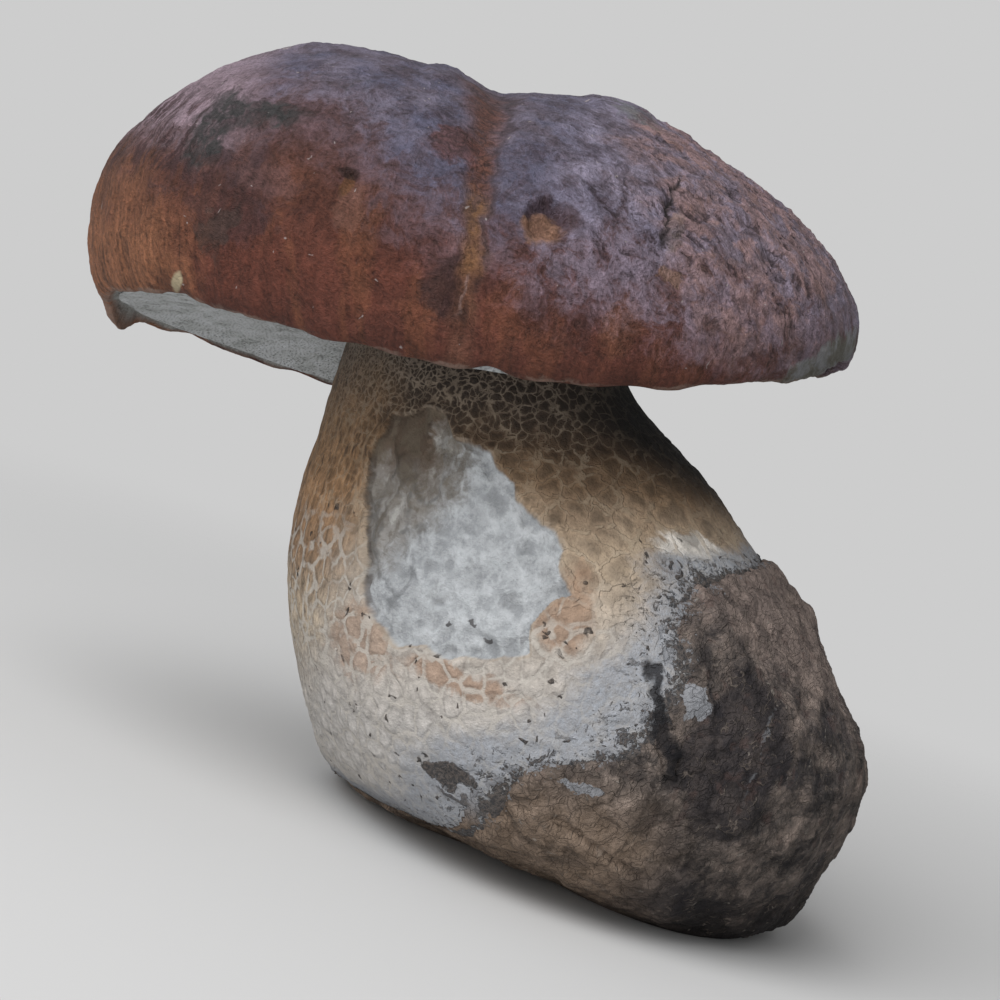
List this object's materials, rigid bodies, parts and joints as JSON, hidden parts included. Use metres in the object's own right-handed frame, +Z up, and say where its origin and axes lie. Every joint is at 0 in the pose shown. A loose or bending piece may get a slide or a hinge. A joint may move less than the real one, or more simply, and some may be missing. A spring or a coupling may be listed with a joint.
{
  "type": "porcini mushroom",
  "caption": "Stout porcini with a broad two-crowned cap, a spongy layer of tubes beneath it, and a swollen stem with a raised net, crusted with soil at its foot.",
  "frame": {"origin": "on the flat of the foot that the mushroom stands on", "axes": "+Z up, +X away from the side that the stem leans to, -Y towards the side with the eaten patch"},
  "size_m": [0.1462, 0.1003, 0.1195],
  "materials": {
    "cap_skin": "satin",
    "pores": "matte",
    "stem_skin": "matte",
    "soil": "matte"
  },
  "bodies": {
    "root": {"cap": "cap_skin", "tube_layer": "pores", "stem": "stem_skin", "soil_crust": "soil"}
  },
  "joints": []
}
